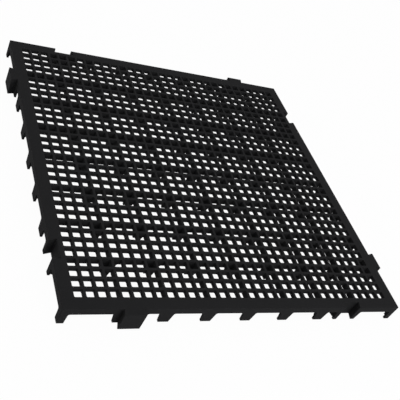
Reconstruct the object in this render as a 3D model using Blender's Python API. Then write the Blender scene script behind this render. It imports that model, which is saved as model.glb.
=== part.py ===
"""Modular floor tile: one injection moulding in black plastic, laid flat on its feet.

A square grid of bars makes the top. Deeper ribs run under every fourth bar, and where two ribs
cross, both drop to the floor as a cross-shaped foot. A wall runs round the rim and stands on
feet of its own. Every side has a tab at its left end and a matching notch at its right end, seen
from outside, so that any side locks with any side of the next tile.

The tile looks the same after each quarter turn, so one quarter is modelled and set down four
times, with a hairline seam along the two middle ribs.
"""
from math import radians

import bmesh
import bpy
from mathutils import Matrix, Vector

# Top grid
HOLE_PITCH = 0.0147
HOLES_PER_QUARTER = 16
HOLES_PER_BAY = 4
BAR_WIDTH = 0.0036
BAR_BOTTOM = 0.0031
BAR_DEPTH = 0.0060

# Ribs, rim and outer wall
TILE_HEIGHT = 0.0270
RIB_THICKNESS = 0.0025
RIB_DEPTH = 0.0103
RIM_MARGIN = 0.0148
RIM_THICKNESS = 0.0030
WALL_THICKNESS = 0.0022
SKIRT_DEPTH = 0.0105

# Feet: half lengths at the floor, and how far each side leans out on its way up
FOOT_TOE = 0.0067
FOOT_LEAN = 0.0032
WALL_FOOT_TOE = 0.0070
WALL_FOOT_LEAN = 0.0024
WALL_FOOT_FILLET = 0.0030
FILLET_STEPS = 2
CORNER_FOOT = 0.0072
RIB_END_FOOT = 0.0070
LEG_WIDTH = 0.0075

# Tab and notch
TAB_WIDTH = 0.0276
TAB_REACH = 0.0090
TAB_WALL = 0.0024
TAB_PAST_RIB = 0.0024
KEY_CLEARANCE = 0.0003
SOCKET_WALL = 0.0022

# Working values
SEAM = 0.0003
CUT_PAST = 0.0010
WALL_CLEAR = 0.00025
MERGE = 0.00001
PLASTIC = (0.0146, 0.0146, 0.0150, 1.0)
PLASTIC_ROUGHNESS = 0.42

GRID_HALF = HOLES_PER_QUARTER * HOLE_PITCH
TILE_HALF = GRID_HALF + RIM_MARGIN
WALL_INSIDE = TILE_HALF - WALL_THICKNESS
BARS_FROM = TILE_HEIGHT - BAR_DEPTH
RIM_FROM = TILE_HEIGHT - RIM_THICKNESS
RIB_LINES = [line * HOLE_PITCH for line in range(0, HOLES_PER_QUARTER, HOLES_PER_BAY)]
KEY_OUTSIDE = RIB_LINES[-1] + TAB_PAST_RIB
KEY_INSIDE = KEY_OUTSIDE - TAB_WIDTH


def clear_scene():
    for old in list(bpy.data.objects):
        bpy.data.objects.remove(old, do_unlink=True)


def plastic_material():
    material = bpy.data.materials.new("black_plastic")
    material.use_nodes = True
    shader = material.node_tree.nodes["Principled BSDF"]
    shader.inputs["Base Color"].default_value = PLASTIC
    shader.inputs["Roughness"].default_value = PLASTIC_ROUGHNESS
    shader.inputs["Metallic"].default_value = 0.0
    return material


def open_edges(bm):
    return [edge for edge in bm.edges if edge.is_boundary]


def extrude(bm, edges, place):
    """Extrude edges and put each new vertex where place() says."""
    for item in bmesh.ops.extrude_edge_only(bm, edges=edges)["geom"]:
        if isinstance(item, bmesh.types.BMVert):
            item.co = place(item.co.copy())


def add_shape(bm, shape):
    """Add a finished shape to another, and let go of it."""
    mesh = bpy.data.meshes.new("shape")
    shape.to_mesh(mesh)
    shape.free()
    bm.from_mesh(mesh)
    bpy.data.meshes.remove(mesh)


def on_outline(co):
    return any(abs(co[axis] - side) < MERGE
               for axis in (0, 1) for side in (-TILE_HALF, -SEAM / 2))


def on_corner(co):
    return all(min(abs(co[axis] + TILE_HALF), abs(co[axis] + SEAM / 2)) < MERGE
               for axis in (0, 1))


def bar_sheet(bm, height, width):
    """A flat grid whose lines are widened to bars. Returns the faces of the bars."""
    cells = HOLES_PER_QUARTER + 2
    half = cells * HOLE_PITCH / 2
    middle = HOLE_PITCH - half
    bmesh.ops.create_grid(bm, x_segments=cells, y_segments=cells, size=half,
                          matrix=Matrix.Translation((middle, middle, height)))
    lines = [edge for edge in bm.edges if not edge.is_boundary]
    return set(bmesh.ops.bevel(bm, geom=lines, offset=width / 2, offset_type="OFFSET",
                               affect="EDGES", segments=1, profile=0.5, material=-1)["faces"])


def top_sheet(bm):
    """The flat top: bars inside a solid rim, cut off at the two seams."""
    bars = bar_sheet(bm, TILE_HEIGHT, BAR_WIDTH)
    holes = [face for face in bm.faces
             if face not in bars and min(face.calc_center_median()[:2]) > -GRID_HALF]
    bmesh.ops.delete(bm, geom=holes, context="FACES_ONLY")
    for vert in bm.verts:
        for axis in (0, 1):
            if vert.co[axis] < -GRID_HALF - HOLE_PITCH / 2:
                vert.co[axis] = -TILE_HALF
    for normal in ((1, 0, 0), (0, 1, 0)):
        bmesh.ops.bisect_plane(bm, geom=bm.verts[:] + bm.edges[:] + bm.faces[:],
                               dist=MERGE / 10, plane_co=(-SEAM / 2, -SEAM / 2, 0),
                               plane_no=normal, clear_outer=True)
    spare = [vert for vert in bm.verts if on_outline(vert.co) and not on_corner(vert.co)]
    bmesh.ops.dissolve_verts(bm, verts=spare)


def on_rib_line(line):
    return line % HOLES_PER_BAY == 0 and line != -HOLES_PER_QUARTER


def hole_edge(value):
    """Where the side of a hole ends: at a rib, or at the underside of a lighter bar."""
    line = round(value / HOLE_PITCH)
    half = (RIB_THICKNESS if on_rib_line(line) else BAR_BOTTOM) / 2
    return line * HOLE_PITCH + (half if value > line * HOLE_PITCH else -half)


def under_light_bar(value):
    """Whether a face with its middle here belongs to the underside of the lighter bars."""
    line = round(value / HOLE_PITCH)
    in_rib = on_rib_line(line) and abs(value - line * HOLE_PITCH) < HOLE_PITCH / 4
    return -GRID_HALF - HOLE_PITCH / 4 < value < 0 and not in_rib


def bar_undersides(bm):
    """The flat undersides of the bars inside every bay, up to the ribs round it."""
    sheet = bmesh.new()
    bars = bar_sheet(sheet, BARS_FROM, BAR_BOTTOM)
    spare = [face for face in sheet.faces if face not in bars
             or not all(under_light_bar(value) for value in face.calc_center_median()[:2])]
    bmesh.ops.delete(sheet, geom=spare, context="FACES")
    for vert in sheet.verts:
        vert.co = Vector((hole_edge(vert.co.x), hole_edge(vert.co.y), BARS_FROM))
    add_shape(bm, sheet)


def hole_sides(bm):
    """Slope the sides of the holes down to the undersides of the bars and to the ribs."""
    rims = [edge for edge in open_edges(bm)
            if not all(on_outline(vert.co) for vert in edge.verts)]
    extrude(bm, rims, lambda co: Vector((hole_edge(co.x), hole_edge(co.y), BARS_FROM)))
    bar_undersides(bm)
    bmesh.ops.remove_doubles(bm, verts=bm.verts, dist=MERGE)


def step_out(bm, start, end):
    """Extrude the open edges along one line of the rim, given as (distance, height)."""
    def on_line(co, axis):
        return abs(co[axis] + start[0]) < MERGE and abs(co.z - start[1]) < MERGE

    def place(co):
        return Vector([-end[0] if on_line(co, axis) else co[axis] for axis in (0, 1)] + [end[1]])

    edges = [edge for edge in open_edges(bm)
             if any(all(on_line(vert.co, axis) for vert in edge.verts) for axis in (0, 1))]
    extrude(bm, edges, place)


def rim_underside(bm):
    """Step up from the outermost bar to the underside of the rim, and out to the wall."""
    draft = (BAR_WIDTH - BAR_BOTTOM) / 2 * RIM_THICKNESS / BAR_DEPTH
    bar_side = GRID_HALF + BAR_WIDTH / 2 - draft
    step_out(bm, (GRID_HALF + BAR_BOTTOM / 2, BARS_FROM), (bar_side, RIM_FROM))
    step_out(bm, (bar_side, RIM_FROM), (WALL_INSIDE, RIM_FROM))


def walls_to_floor(bm):
    """Carry the outline and the edge of every bay down to the floor, and close the floor side."""
    extrude(bm, open_edges(bm), lambda co: Vector((co.x, co.y, 0)))
    bmesh.ops.recalc_face_normals(bm, faces=bm.faces)
    upright = [edge for edge in bm.edges if len(edge.link_faces) == 2
               and min(vert.co.z for vert in edge.verts) < MERGE
               and max(vert.co.z for vert in edge.verts) > MERGE
               and edge.calc_face_angle() < radians(1)]
    bmesh.ops.dissolve_edges(bm, edges=upright, use_verts=True)
    bmesh.ops.triangle_fill(bm, edges=open_edges(bm), use_beauty=True, use_dissolve=False)
    bmesh.ops.recalc_face_normals(bm, faces=bm.faces)


def add_prism(bm, outline, start, end, along_x, fillet=0.0):
    """Add an outline of (across, up) points, run from start to end along X or along Y."""
    shape = bmesh.new()
    face = shape.faces.new([shape.verts.new((across, start, up)) for across, up in outline])
    if fillet:
        top = max(up for across, up in outline)
        corners = [vert for vert in face.verts if abs(vert.co.z - top) < MERGE]
        bmesh.ops.bevel(shape, geom=corners, offset=fillet, offset_type="OFFSET",
                        affect="VERTICES", segments=FILLET_STEPS, profile=0.5, material=-1)
    made = bmesh.ops.extrude_face_region(shape, geom=shape.faces[:])["geom"]
    far = [item for item in made if isinstance(item, bmesh.types.BMVert)]
    bmesh.ops.translate(shape, verts=far, vec=(0, end - start, 0))
    if along_x:
        swap = Matrix(((0, 1, 0, 0), (1, 0, 0, 0), (0, 0, 1, 0), (0, 0, 0, 1)))
        bmesh.ops.transform(shape, matrix=swap, verts=shape.verts)
    bmesh.ops.recalc_face_normals(shape, faces=shape.faces)
    add_shape(bm, shape)


def block(left, right, low, high):
    return [(left, low), (right, low), (right, high), (left, high)]


def arch(left, right, height, lean):
    """An arch between two feet, run on below the floor so that its cut is clean."""
    below = CUT_PAST * lean / height
    return [(left - below, -CUT_PAST), (right + below, -CUT_PAST),
            (right - lean, height), (left + lean, height)]


def rib_arches(bm, along_x):
    """Cut the ribs that run across, between their feet."""
    height = TILE_HEIGHT - RIB_DEPTH
    feet = [-line for line in reversed(RIB_LINES)]
    starts = [-TILE_HALF + RIB_END_FOOT] + [foot + FOOT_TOE for foot in feet]
    ends = [foot - FOOT_TOE for foot in feet]
    for start, end in zip(starts, ends):
        add_prism(bm, arch(start, end, height, FOOT_LEAN), -WALL_INSIDE + WALL_CLEAR,
                  CUT_PAST, along_x)


def wall_arches(bm, along_x):
    """Cut the outer wall between its feet, the corner's foot and the leg beside the key."""
    height = TILE_HEIGHT - SKIRT_DEPTH
    feet = [-line for line in reversed(RIB_LINES)]
    starts = [-TILE_HALF + CORNER_FOOT, -KEY_INSIDE + LEG_WIDTH]
    starts += [foot + WALL_FOOT_TOE for foot in feet[1:-1]]
    ends = [foot - WALL_FOOT_TOE for foot in feet]
    for start, end in zip(starts, ends):
        add_prism(bm, arch(start, end, height, WALL_FOOT_LEAN), -TILE_HALF - CUT_PAST,
                  -WALL_INSIDE + 2 * WALL_CLEAR, along_x, WALL_FOOT_FILLET)


def cutter(name, build):
    """A helper object for a Boolean, kept out of the finished model."""
    bm = bmesh.new()
    build(bm)
    mesh = bpy.data.meshes.new(name)
    bm.to_mesh(mesh)
    bm.free()
    helper = bpy.data.objects.new(name, mesh)
    helper.hide_render = True
    helper.display_type = "WIRE"
    bpy.context.scene.collection.objects.link(helper)
    return helper


def tab_and_socket(bm):
    """The tab stands out of the front wall, and the socket is let in behind the left wall."""
    in_wall = -TILE_HALF + WALL_THICKNESS / 2
    add_prism(bm, block(-KEY_OUTSIDE, -KEY_INSIDE, 0, TILE_HEIGHT),
              -TILE_HALF - TAB_REACH, in_wall, False)
    wide = KEY_CLEARANCE + SOCKET_WALL
    add_prism(bm, block(-KEY_OUTSIDE - wide, -KEY_INSIDE + wide, 0, TILE_HEIGHT),
              in_wall, -TILE_HALF + TAB_REACH + wide, True)


def tab_hollow_and_notch(bm):
    add_prism(bm, block(-KEY_OUTSIDE + TAB_WALL, -KEY_INSIDE - TAB_WALL, -CUT_PAST, RIM_FROM),
              -TILE_HALF - TAB_REACH + TAB_WALL, -TILE_HALF, False)
    add_prism(bm, block(-KEY_OUTSIDE - KEY_CLEARANCE, -KEY_INSIDE + KEY_CLEARANCE, -CUT_PAST,
                        TILE_HEIGHT + CUT_PAST),
              -TILE_HALF - CUT_PAST, -TILE_HALF + TAB_REACH + KEY_CLEARANCE, True)


def merge_flat_faces(mesh):
    """Join the flat faces that the cuts have split, below the top face."""
    bm = bmesh.new()
    bm.from_mesh(mesh)
    edges = [edge for edge in bm.edges
             if min(vert.co.z for vert in edge.verts) < TILE_HEIGHT - MERGE]
    bmesh.ops.dissolve_limit(bm, angle_limit=radians(0.2), use_dissolve_boundaries=False,
                             verts=bm.verts, edges=edges, delimit=set())
    bm.to_mesh(mesh)
    bm.free()


def quarter_mesh():
    """One quarter of the tile, from its corner to the seams along the middle ribs."""
    bm = bmesh.new()
    top_sheet(bm)
    hole_sides(bm)
    rim_underside(bm)
    walls_to_floor(bm)
    mesh = bpy.data.meshes.new("lattice")
    bm.to_mesh(mesh)
    bm.free()
    lattice = bpy.data.objects.new("lattice", mesh)
    bpy.context.scene.collection.objects.link(lattice)
    steps = (("rib_arches_x", "DIFFERENCE", lambda bm: rib_arches(bm, True)),
             ("rib_arches_y", "DIFFERENCE", lambda bm: rib_arches(bm, False)),
             ("wall_arches_x", "DIFFERENCE", lambda bm: wall_arches(bm, True)),
             ("wall_arches_y", "DIFFERENCE", lambda bm: wall_arches(bm, False)),
             ("tab_and_socket", "UNION", tab_and_socket),
             ("tab_hollow_and_notch", "DIFFERENCE", tab_hollow_and_notch))
    for name, operation, build in steps:
        change = lattice.modifiers.new(name, "BOOLEAN")
        change.operation = operation
        change.solver = "EXACT"
        change.object = cutter(name, build)
    depsgraph = bpy.context.evaluated_depsgraph_get()
    finished = bpy.data.meshes.new_from_object(lattice.evaluated_get(depsgraph))
    finished.name = "tile_quarter"
    merge_flat_faces(finished)
    bpy.data.objects.remove(lattice)
    return finished


def build_tile():
    clear_scene()
    mesh = quarter_mesh()
    mesh.materials.clear()
    mesh.materials.append(plastic_material())
    tile = bpy.data.objects.new("floor_tile", None)
    bpy.context.scene.collection.objects.link(tile)
    for turn, corner in enumerate(("front_left", "front_right", "back_right", "back_left")):
        quarter = bpy.data.objects.new("tile_" + corner, mesh)
        quarter.rotation_euler.z = radians(90 * turn)
        quarter.parent = tile
        bpy.context.scene.collection.objects.link(quarter)


build_tile()
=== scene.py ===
"""Modular floor tile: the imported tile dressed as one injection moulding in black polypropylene.

The four packed quarters are replaced by one seamless piece with the same grid, ribs and feet.
It adds the rounded rims and corners of the holes, the dovetail of the tabs and notches, the
rounding of edges, corners and feet, and the finish.
"""
from math import copysign, cos, radians, sin

import bmesh
import bpy
from mathutils import Matrix, Vector

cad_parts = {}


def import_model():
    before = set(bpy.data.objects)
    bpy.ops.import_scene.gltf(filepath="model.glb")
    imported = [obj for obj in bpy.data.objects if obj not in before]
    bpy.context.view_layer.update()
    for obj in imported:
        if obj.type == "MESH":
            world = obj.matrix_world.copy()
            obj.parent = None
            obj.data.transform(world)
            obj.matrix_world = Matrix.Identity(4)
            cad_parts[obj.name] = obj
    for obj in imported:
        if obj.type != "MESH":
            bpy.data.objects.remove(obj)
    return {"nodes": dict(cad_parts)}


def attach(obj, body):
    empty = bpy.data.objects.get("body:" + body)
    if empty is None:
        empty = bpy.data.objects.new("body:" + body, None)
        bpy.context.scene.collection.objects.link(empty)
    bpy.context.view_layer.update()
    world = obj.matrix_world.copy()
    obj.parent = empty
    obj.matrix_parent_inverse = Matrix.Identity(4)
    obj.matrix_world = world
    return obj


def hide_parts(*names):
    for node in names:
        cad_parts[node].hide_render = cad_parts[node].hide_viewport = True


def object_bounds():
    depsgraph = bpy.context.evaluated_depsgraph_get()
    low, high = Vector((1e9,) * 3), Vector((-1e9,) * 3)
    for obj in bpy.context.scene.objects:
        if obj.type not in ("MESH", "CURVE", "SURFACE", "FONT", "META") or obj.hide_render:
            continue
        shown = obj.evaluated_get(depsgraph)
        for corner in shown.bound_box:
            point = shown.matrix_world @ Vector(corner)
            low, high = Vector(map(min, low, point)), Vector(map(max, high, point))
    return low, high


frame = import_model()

CAD_LOW, CAD_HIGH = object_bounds()
NODES = sorted(frame["nodes"])

# Grid: the holes widen downwards by the draft of the mould
PITCH = 0.0147
HOLES_ACROSS = 32
HOLES_PER_BAY = 4
BAR_TOP = 0.0036
BAR_BOTTOM = 0.0031
BAR_DEPTH = 0.0060
HOLE_CORNER = 0.0011
HOLE_CORNER_STEPS = 2
RIM_ROUND = 0.0004
RIM_ROUND_STEPS = 2

# Ribs, rim and outer wall
TOP = CAD_HIGH.z
RIB = 0.0025
RIB_DEPTH = 0.0103
RIM_MARGIN = 0.0148
RIM_THICKNESS = 0.0030
WALL = 0.0030
SKIRT_DEPTH = 0.0105
EDGE_ROUND = 0.0004
CORNER_ROUND = 0.0007
EDGE_ROUND_STEPS = 3

# Feet at the ribs: half a length at the floor, how far each side leans out on its way up, fillet
FOOT_TOE = 0.0067
FOOT_LEAN = 0.0032
FOOT_FILLET = 0.0015
WALL_FOOT_TOE = 0.0070
WALL_FOOT_LEAN = 0.0024
WALL_FOOT_FILLET = 0.0022
FILLET_STEPS = 5

# Feet at the tile's edge: whole lengths at the floor, and how far the inner side leans out
RIB_END_FOOT = 0.0086
CORNER_FOOT = 0.0084
CORNER_LEAN = 0.0012
TAB_LEG = 0.0062
NOTCH_LEG = 0.0045
LEG_LEAN = 0.0008

# Tab and notch: DOVETAIL is how much narrower a tab is on each side where it leaves the wall
TAB_WIDTH = 0.0286
DOVETAIL = 0.0025
TAB_WALL = 0.0024
TAB_PAST_RIB = 0.0024
KEY_CLEARANCE = 0.0008
SOCKET_WALL = 0.0030

# Finish: colours, sheen, the real widths of flow marks and grain, and the grain's depth
BLACK_DEEP = "#1d1d1e"
BLACK_WORN = "#222223"
IOR = 1.49
SHEEN = 0.05
ROUGHNESS = 0.82
ROUGHNESS_SWING = 0.06
FLOW_WIDTH = 0.040
GRAIN_WIDTH = 0.0006
GRAIN_DEPTH = 0.00004
GRAIN_STRENGTH = 0.35
SMOOTH_WITHIN = 50

# Stage and lighting: each lamp has a name, a place, a width and a power
PAPER = "#dcdcdc"
PAPER_GLOW = 0.97
STAGE_RADIUS = 6.0
STAGE_SIDES = 96
BACKDROP_HEIGHT = 2.2
FLOOR_GAP = 0.0002
DOME = 0.70
LAMPS = (("key", (0.5, -2.2, 1.3), 1.6, 28),
         ("fill", (2.0, 0.2, 1.5), 1.8, 5),
         ("back", (-0.3, 2.0, 1.6), 1.8, 5))

# Camera
CAMERA_AT = (-0.4866, -0.6541, 0.6126)
CAMERA_AIM = (-0.0418, -0.0678, 0.0271)
CAMERA_ROLL = 29.95
SENSOR = 36.0
LENS = 60.56
SHIFT_X = 0.0375

# Working values: how far a cut runs past a face or stops short of one, how far the envelope's
# top lies above the tile's, the distance within which vertices are one, and the angle in
# degrees within which faces are flat
PAST = 0.0010
PAST_WALL = 0.0005
SHORT_OF_WALL = 0.00025
TRIM_ABOVE = 0.00002
MERGE = 0.00001
FLAT_WITHIN = 1

GRID_HALF = HOLES_ACROSS // 2 * PITCH
GRID_REACH = GRID_HALF + BAR_BOTTOM / 2
TILE_HALF = GRID_HALF + RIM_MARGIN
TAB_REACH = CAD_HIGH.x - TILE_HALF
WALL_INSIDE = TILE_HALF - WALL
DECK_FROM = TOP - BAR_DEPTH
RIM_FROM = TOP - RIM_THICKNESS
BAY = HOLES_PER_BAY * PITCH
BAYS_ACROSS = HOLES_ACROSS // HOLES_PER_BAY
RIB_LINES = [line * BAY - GRID_HALF for line in range(1, BAYS_ACROSS)]
KEY_OUTSIDE = RIB_LINES[-1] + TAB_PAST_RIB
KEY_INSIDE = KEY_OUTSIDE - TAB_WIDTH
KEY_MIDDLE = (KEY_OUTSIDE + KEY_INSIDE) / 2
NOTCH_END = -TILE_HALF + TAB_REACH + KEY_CLEARANCE


def linear(hex_colour):
    """The linear RGBA of an sRGB hex colour."""
    values = [int(hex_colour[at:at + 2], 16) / 255 for at in (1, 3, 5)]
    return [v / 12.92 if v <= 0.04045 else ((v + 0.055) / 1.055) ** 2.4 for v in values] + [1.0]


def add_node(tree, kind, links=None, **settings):
    """Add a node with its settings and links; a setting that isn't an attribute is an input."""
    node = tree.nodes.new(kind)
    for name, value in settings.items():
        if hasattr(node, name):
            setattr(node, name, value)
        else:
            node.inputs[name.replace("_", " ")].default_value = value
    for name, socket in (links or {}).items():
        tree.links.new(socket, node.inputs[name])
    return node


def add_object(name, data):
    """A new object in the scene."""
    made = bpy.data.objects.new(name, data)
    bpy.context.scene.collection.objects.link(made)
    return made


def to_mesh(name, bm):
    """The bmesh as a new mesh. The bmesh is freed."""
    mesh = bpy.data.meshes.new(name)
    bm.to_mesh(mesh)
    bm.free()
    return mesh


def new_verts(made):
    return [item for item in made["geom"] if isinstance(item, bmesh.types.BMVert)]


def open_edges(bm):
    return [edge for edge in bm.edges if len(edge.link_faces) < 2]


def extrude(bm, edges, place):
    """Extrude edges and put each new vertex where place() says. Returns the new edges."""
    made = bmesh.ops.extrude_edge_only(bm, edges=edges)
    for vert in new_verts(made):
        vert.co = place(vert.co.copy())
    return [item for item in made["geom"] if isinstance(item, bmesh.types.BMEdge)]


def repeat(bm, count, step):
    """Repeat everything count times along X and along Y, centred, and join what meets."""
    for axis in (0, 1):
        unit = bm.verts[:] + bm.edges[:] + bm.faces[:]
        offset = Vector((0, 0, 0))
        for copy in range(1, count):
            offset[axis] = copy * step
            made = bmesh.ops.duplicate(bm, geom=unit)
            bmesh.ops.translate(bm, verts=new_verts(made), vec=offset)
        offset[axis] = -(count - 1) * step / 2
        bmesh.ops.translate(bm, verts=bm.verts, vec=offset)
    bmesh.ops.remove_doubles(bm, verts=bm.verts, dist=MERGE)


def ring(bm, hole_loop, height):
    """Fill between the loop of a hole and the square cell round it."""
    made = bmesh.ops.create_grid(bm, x_segments=1, y_segments=1, size=PITCH / 2,
                                 matrix=Matrix.Translation((0, 0, height)))
    square = list(made["verts"][0].link_faces[0].edges)
    bmesh.ops.delete(bm, geom=list(made["verts"][0].link_faces), context="FACES_ONLY")
    bmesh.ops.triangle_fill(bm, edges=square + hole_loop, use_beauty=True, use_dissolve=False)


def hole_levels():
    """Height of each ring of a hole's side, and how far it lies outside the hole's true size."""
    levels = []
    for step in range(RIM_ROUND_STEPS + 1):
        turn = radians(90) * step / RIM_ROUND_STEPS
        levels.append((TOP - RIM_ROUND * (1 - cos(turn)), RIM_ROUND * (1 - sin(turn))))
    return levels + [(DECK_FROM, (BAR_TOP - BAR_BOTTOM) / 2)]


def regrown(centre, grow, height):
    """A place() that scales each corner of a hole about its own centre, at a new height."""
    def place(co):
        across = [copysign(centre + (abs(co[axis]) - centre) * grow, co[axis]) for axis in (0, 1)]
        return Vector(across + [height])
    return place


def hole_cell(bm):
    """One hole of the grid with half a bar round it: its top, its side and its underside."""
    levels = hole_levels()
    radius = HOLE_CORNER + RIM_ROUND
    centre = (PITCH - BAR_TOP) / 2 - HOLE_CORNER
    bmesh.ops.create_grid(bm, x_segments=1, y_segments=1, size=centre + radius,
                          matrix=Matrix.Translation((0, 0, TOP)))
    bmesh.ops.bevel(bm, geom=bm.verts[:], offset=radius, offset_type="OFFSET", affect="VERTICES",
                    segments=HOLE_CORNER_STEPS, profile=0.5, material=-1)
    first = bm.edges[:]
    bmesh.ops.delete(bm, geom=bm.faces[:], context="FACES_ONLY")
    loop = first
    for height, outside in levels[1:]:
        grow = (HOLE_CORNER + outside) / radius
        radius = HOLE_CORNER + outside
        loop = extrude(bm, loop, regrown(centre, grow, height))
    ring(bm, first, TOP)
    ring(bm, loop, DECK_FROM)
    bmesh.ops.remove_doubles(bm, verts=bm.verts, dist=MERGE)


def move_underside(bm, beyond, moved):
    """Move what lies at or beyond a distance from the middle, on the underside of the grid."""
    for vert in bm.verts:
        for axis in (0, 1):
            distance = abs(vert.co[axis])
            if vert.co.z < DECK_FROM + MERGE and distance > beyond - MERGE:
                vert.co[axis] = copysign(moved(distance), vert.co[axis])


def deck():
    """The grid of bars, with a slot left open under it along each rib and inside the rim."""
    bm = bmesh.new()
    hole_cell(bm)
    repeat(bm, HOLES_PER_BAY, PITCH)
    move_underside(bm, BAY / 2, lambda distance: distance - RIB / 2)
    repeat(bm, BAYS_ACROSS, BAY)
    move_underside(bm, GRID_HALF - RIB / 2, lambda distance: GRID_REACH)
    return bm


def step_out(bm, start, end):
    """Extrude the open edges along one line of the rim, given as (distance, height)."""
    def on_line(co, axis):
        return abs(abs(co[axis]) - start[0]) < MERGE and abs(co.z - start[1]) < MERGE

    def place(co):
        across = [copysign(end[0], co[axis]) if on_line(co, axis) else co[axis]
                  for axis in (0, 1)]
        return Vector(across + [end[1]])

    edges = [edge for edge in open_edges(bm)
             if any(all(on_line(vert.co, axis) for vert in edge.verts) for axis in (0, 1))]
    extrude(bm, edges, place)


def deck_faces(bm):
    """The faces of the grid, or of the caps in its place."""
    reach = GRID_REACH + MERGE
    return [face for face in bm.faces
            if all(vert.co.z > DECK_FROM - MERGE and max(abs(vert.co.x), abs(vert.co.y)) < reach
                   for vert in face.verts)]


def frame_block(deck_bm):
    """The rim, ribs and a thick outer wall, closed, with plain caps where the deck goes."""
    bm = deck_bm.copy()
    bar_side = GRID_HALF + BAR_TOP / 2 - (BAR_TOP - BAR_BOTTOM) / 2 * RIM_THICKNESS / BAR_DEPTH
    step_out(bm, (GRID_HALF, TOP), (CAD_HIGH.x + PAST, TOP))
    step_out(bm, (GRID_REACH, DECK_FROM), (bar_side, RIM_FROM))
    step_out(bm, (bar_side, RIM_FROM), (WALL_INSIDE, RIM_FROM))
    extrude(bm, open_edges(bm), lambda co: Vector((co.x, co.y, 0)))
    bmesh.ops.recalc_face_normals(bm, faces=bm.faces)
    upright = [edge for edge in bm.edges if len(edge.link_faces) == 2
               and min(vert.co.z for vert in edge.verts) < MERGE
               and max(vert.co.z for vert in edge.verts) > MERGE
               and edge.calc_face_angle() < radians(FLAT_WITHIN)]
    bmesh.ops.dissolve_edges(bm, edges=upright, use_verts=True)
    bmesh.ops.triangle_fill(bm, edges=open_edges(bm), use_beauty=True, use_dissolve=False)
    bmesh.ops.delete(bm, geom=deck_faces(bm), context="FACES")
    bmesh.ops.holes_fill(bm, edges=open_edges(bm), sides=0)
    bmesh.ops.recalc_face_normals(bm, faces=bm.faces)
    return bm


def turned_points(points):
    """The points of one side, and the same points for the other three sides in turn."""
    return [Matrix.Rotation(radians(90 * turn), 2) @ Vector(point)
            for turn in range(4) for point in points]


def dovetail(middle, grow, root, end):
    """The plan of a tab, a notch or a wall round it: narrowest at the tile's edge."""
    def half(y):
        return TAB_WIDTH / 2 + grow - DOVETAIL * (1 - abs(y + TILE_HALF) / TAB_REACH)
    return [(middle - half(root), root), (middle - half(end), end),
            (middle + half(end), end), (middle + half(root), root)]


def raise_plan(bm, plan, low, high):
    """Add a plan of points, run from one height up to another."""
    face = bm.faces.new([bm.verts.new((x, y, low)) for x, y in plan])
    made = bmesh.ops.extrude_face_region(bm, geom=[face])
    bmesh.ops.translate(bm, verts=new_verts(made), vec=(0, 0, high - low))
    bmesh.ops.recalc_face_normals(bm, faces=bm.faces)


def envelope(bm):
    """The outline of the tile with its tabs and notches, raised and rounded at its outer edges."""
    side = dovetail(-KEY_MIDDLE, 0, -TILE_HALF, -TILE_HALF - TAB_REACH)
    side += dovetail(KEY_MIDDLE, KEY_CLEARANCE, -TILE_HALF, NOTCH_END)
    side += [(TILE_HALF, -TILE_HALF)]
    raise_plan(bm, turned_points(side), -PAST, TOP + TRIM_ABOVE)
    upright = [edge for edge in bm.edges
               if abs(edge.verts[0].co.z - edge.verts[1].co.z) > TOP]
    bmesh.ops.bevel(bm, geom=upright, offset=CORNER_ROUND, offset_type="OFFSET", affect="EDGES",
                    segments=EDGE_ROUND_STEPS, profile=0.5, material=-1)
    upper = [edge for edge in bm.edges if all(vert.co.z > TOP for vert in edge.verts)]
    bmesh.ops.bevel(bm, geom=upper, offset=EDGE_ROUND, offset_type="OFFSET", affect="EDGES",
                    segments=EDGE_ROUND_STEPS, profile=0.5, material=-1)


def prism(bm, outline, start, end, along_x, fillet):
    """Add an outline of (across, up) points with its top corners filleted, run from start to end
    along X or along Y."""
    shape = bmesh.new()
    face = shape.faces.new([shape.verts.new((across, start, up)) for across, up in outline])
    top = max(up for across, up in outline)
    corners = [vert for vert in face.verts if abs(vert.co.z - top) < MERGE]
    bmesh.ops.bevel(shape, geom=corners, offset=fillet, offset_type="OFFSET",
                    affect="VERTICES", segments=FILLET_STEPS, profile=0.5, material=-1)
    made = bmesh.ops.extrude_face_region(shape, geom=shape.faces[:])
    bmesh.ops.translate(shape, verts=new_verts(made), vec=(0, end - start, 0))
    if along_x:
        swap_x_and_y = Matrix(((0, 1, 0, 0), (1, 0, 0, 0), (0, 0, 1, 0), (0, 0, 0, 1)))
        bmesh.ops.transform(shape, matrix=swap_x_and_y, verts=shape.verts)
    bmesh.ops.recalc_face_normals(shape, faces=shape.faces)
    mesh = to_mesh("prism", shape)
    bm.from_mesh(mesh)
    bpy.data.meshes.remove(mesh)


def all_sides(bm, add):
    """Add the same shapes at the front and, a quarter turn on each time, at the other sides."""
    for turn in range(4):
        before = set(bm.verts)
        add(bm)
        fresh = [vert for vert in bm.verts if vert not in before]
        bmesh.ops.rotate(bm, verts=fresh, cent=(0, 0, 0),
                         matrix=Matrix.Rotation(radians(90 * turn), 3, "Z"))


def arch(left, left_lean, right, right_lean, height):
    """An arch between two feet, run on below the floor so that its cut is clean."""
    below = PAST / height
    return [(left - left_lean * below, -PAST), (right + right_lean * below, -PAST),
            (right - right_lean, height), (left + left_lean, height)]


def rib_arches(bm, along_x):
    """What is cut from the ribs that run one way, between their feet."""
    starts = [-TILE_HALF + RIB_END_FOOT] + [line + FOOT_TOE for line in RIB_LINES]
    ends = [line - FOOT_TOE for line in RIB_LINES] + [TILE_HALF - RIB_END_FOOT]
    for start, end in zip(starts, ends):
        prism(bm, arch(start, FOOT_LEAN, end, FOOT_LEAN, TOP - RIB_DEPTH),
              -WALL_INSIDE + SHORT_OF_WALL, WALL_INSIDE - SHORT_OF_WALL, along_x, FOOT_FILLET)


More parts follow.
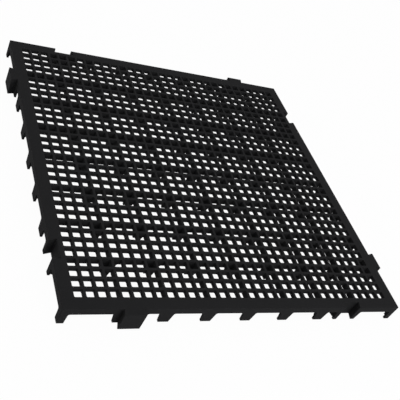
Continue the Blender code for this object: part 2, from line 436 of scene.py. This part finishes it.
def wall_arches(bm):
    """What is cut from the outer wall between its feet, corner feet and the legs at the keys."""
    def add(bm):
        inner = RIB_LINES[1:-1]
        starts = [(-TILE_HALF + CORNER_FOOT, CORNER_LEAN), (-KEY_INSIDE + TAB_LEG, LEG_LEAN)]
        starts += [(line + WALL_FOOT_TOE, WALL_FOOT_LEAN) for line in inner + [RIB_LINES[-1]]]
        ends = [(line - WALL_FOOT_TOE, WALL_FOOT_LEAN) for line in [RIB_LINES[0]] + inner]
        ends += [(KEY_INSIDE - NOTCH_LEG, LEG_LEAN), (TILE_HALF - CORNER_FOOT, CORNER_LEAN)]
        for start, end in zip(starts, ends):
            prism(bm, arch(*start, *end, TOP - SKIRT_DEPTH), -TILE_HALF - PAST,
                  -WALL_INSIDE + PAST_WALL, False, WALL_FOOT_FILLET)
    all_sides(bm, add)


def sockets(bm):
    """The walls round each notch, behind the outer wall."""
    def add(bm):
        plan = dovetail(KEY_MIDDLE, KEY_CLEARANCE + SOCKET_WALL, -TILE_HALF - PAST,
                        NOTCH_END + SOCKET_WALL)
        raise_plan(bm, plan, 0, (RIM_FROM + TOP) / 2)
    all_sides(bm, add)


def tab_hollows(bm):
    """What is cut from each tab from below, which leaves its walls and its top."""
    def add(bm):
        plan = dovetail(-KEY_MIDDLE, -TAB_WALL, -TILE_HALF, -TILE_HALF - TAB_REACH + TAB_WALL)
        raise_plan(bm, plan, -PAST, RIM_FROM)
    all_sides(bm, add)


def helper(name, build):
    """An object for a Boolean, kept out of the finished scene."""
    bm = bmesh.new()
    build(bm)
    made = add_object(name, to_mesh(name, bm))
    made.hide_render = True
    return made


def cut_frame(deck_bm):
    """The rim, ribs and wall, cut to the tile's outline and into feet."""
    blank = add_object("frame_block", to_mesh("frame_block", frame_block(deck_bm)))
    steps = (("rib_arches_x", "DIFFERENCE", lambda bm: rib_arches(bm, True)),
             ("rib_arches_y", "DIFFERENCE", lambda bm: rib_arches(bm, False)),
             ("wall_arches", "DIFFERENCE", wall_arches),
             ("sockets", "UNION", sockets),
             ("tab_hollows", "DIFFERENCE", tab_hollows),
             ("envelope", "INTERSECT", envelope))
    helpers = []
    for name, operation, build in steps:
        change = blank.modifiers.new(name, "BOOLEAN")
        change.operation = operation
        change.solver = "EXACT"
        change.object = helper(name, build)
        helpers.append(change.object)
    depsgraph = bpy.context.evaluated_depsgraph_get()
    finished = bpy.data.meshes.new_from_object(blank.evaluated_get(depsgraph))
    for spent in [blank] + helpers:
        bpy.data.objects.remove(spent)
    return finished


def moulded_tile():
    """The whole tile as one closed, seamless mesh."""
    bm = deck()
    cut = cut_frame(bm)
    uncapped = bmesh.new()
    uncapped.from_mesh(cut)
    bpy.data.meshes.remove(cut)
    bmesh.ops.delete(uncapped, geom=deck_faces(uncapped), context="FACES")
    cut = to_mesh("frame", uncapped)
    bm.from_mesh(cut)
    bpy.data.meshes.remove(cut)
    seam = [vert for vert in bm.verts if any(len(edge.link_faces) < 2 for edge in vert.link_edges)]
    bmesh.ops.remove_doubles(bm, verts=seam, dist=MERGE)
    bmesh.ops.recalc_face_normals(bm, faces=bm.faces)
    mesh = to_mesh("floor_tile", bm)
    mesh.shade_smooth()
    mesh.set_sharp_from_angle(angle=radians(SMOOTH_WITHIN))
    tile = add_object("floor_tile", mesh)
    tile.modifiers.new("flat_faces_stay_flat", "WEIGHTED_NORMAL").keep_sharp = True
    return tile


def moulded_polypropylene():
    """Black polypropylene from a spark-eroded mould: even, close to matt, with a fine grain.

    Carbon black leaves almost no diffuse colour, so the grain and the broad, soft sheen are what
    the eye reads. Slow changes in the sheen are where the melt flowed and cooled unevenly.
    """
    material = bpy.data.materials.new("moulded_black_polypropylene")
    material.use_nodes = True
    tree = material.node_tree
    shader = tree.nodes["Principled BSDF"]
    shader.inputs["IOR"].default_value = IOR
    shader.inputs["Specular IOR Level"].default_value = SHEEN
    place = add_node(tree, "ShaderNodeTexCoord").outputs["Object"]
    flow = add_node(tree, "ShaderNodeTexNoise", {"Vector": place}, Scale=1 / FLOW_WIDTH,
                    Detail=3.0, Roughness=0.55)
    grain = add_node(tree, "ShaderNodeTexNoise", {"Vector": place}, Scale=1 / GRAIN_WIDTH,
                     Detail=2.0, Roughness=0.6)
    # A Mix node's sockets share their names: 6 and 7 are its two colours, and 2 the result
    colour = add_node(tree, "ShaderNodeMix", {"Factor": flow.outputs["Fac"]}, data_type="RGBA")
    colour.inputs[6].default_value = linear(BLACK_DEEP)
    colour.inputs[7].default_value = linear(BLACK_WORN)
    tree.links.new(colour.outputs[2], shader.inputs["Base Color"])
    sheen = add_node(tree, "ShaderNodeMapRange", {"Value": flow.outputs["Fac"]},
                     To_Min=ROUGHNESS - ROUGHNESS_SWING, To_Max=ROUGHNESS + ROUGHNESS_SWING)
    tree.links.new(sheen.outputs["Result"], shader.inputs["Roughness"])
    bump = add_node(tree, "ShaderNodeBump", {"Height": grain.outputs["Fac"]},
                    Strength=GRAIN_STRENGTH, Distance=GRAIN_DEPTH)
    tree.links.new(bump.outputs["Normal"], shader.inputs["Normal"])
    return material


def stage_material(name, colour, glow):
    """A pale surface that the camera and mirrors see as nearly white, with its shadows kept."""
    material = bpy.data.materials.new(name)
    material.use_nodes = True
    tree = material.node_tree
    tree.nodes.clear()
    path = add_node(tree, "ShaderNodeLightPath")
    seen = path.outputs["Is Camera Ray"]
    for kind in ("Is Glossy Ray", "Is Transmission Ray"):
        either = {0: seen, 1: path.outputs[kind]}
        seen = add_node(tree, "ShaderNodeMath", either, operation="MAXIMUM").outputs[0]
    share = add_node(tree, "ShaderNodeMath", {0: seen}, operation="MULTIPLY")
    share.inputs[1].default_value = glow
    paint = add_node(tree, "ShaderNodeBsdfDiffuse", Color=linear(colour))
    white = add_node(tree, "ShaderNodeEmission", Strength=1.0)
    blend = {0: share.outputs[0], 1: paint.outputs[0], 2: white.outputs[0]}
    mix = add_node(tree, "ShaderNodeMixShader", blend)
    add_node(tree, "ShaderNodeOutputMaterial", {"Surface": mix.outputs[0]})
    return material


def stage():
    """A pale floor with a low white backdrop all round it."""
    bm = bmesh.new()
    bmesh.ops.create_circle(bm, cap_ends=True, segments=STAGE_SIDES, radius=STAGE_RADIUS)
    floor_edges = [edge for edge in bm.edges if edge.is_boundary]
    extrude(bm, floor_edges, lambda co: Vector((co.x, co.y, BACKDROP_HEIGHT)))
    bmesh.ops.translate(bm, verts=bm.verts, vec=(0, 0, -FLOOR_GAP))
    floor = add_object("studio_floor", to_mesh("studio_floor", bm))
    floor.data.materials.append(stage_material("white_studio_paper", PAPER, PAPER_GLOW))


def world():
    """A soft white dome of light."""
    made = bpy.data.worlds.new("studio")
    made.use_nodes = True
    sky = made.node_tree.nodes["Background"]
    sky.inputs["Color"].default_value = linear("#ffffff")
    sky.inputs["Strength"].default_value = DOME
    bpy.context.scene.world = made


def lamp(name, place, size, power):
    """A round soft box aimed at the tile."""
    data = bpy.data.lights.new(name, "AREA")
    data.shape = "DISK"
    data.size = size
    data.energy = power
    made = add_object(name, data)
    made.location = place
    made.rotation_euler = (-Vector(place)).to_track_quat("-Z", "Y").to_euler()


def camera():
    """The photograph's viewpoint: from above the front left corner, and rolled."""
    data = bpy.data.cameras.new("camera")
    data.sensor_width = SENSOR
    data.lens = LENS
    data.shift_x = SHIFT_X
    made = add_object("camera", data)
    look = (Vector(CAMERA_AIM) - Vector(CAMERA_AT)).to_track_quat("-Z", "Y").to_matrix()
    made.matrix_world = (Matrix.Translation(CAMERA_AT)
                         @ (look @ Matrix.Rotation(radians(CAMERA_ROLL), 3, "Z")).to_4x4())
    bpy.context.scene.camera = made


# Scene assembly
stage()
world()
for name, place, size, power in LAMPS:
    lamp(name, place, size, power)
camera()

tile = moulded_tile()
tile.data.materials.append(moulded_polypropylene())
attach(tile, "root")
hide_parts(*NODES)

bpy.context.scene.view_settings.view_transform = "Standard"
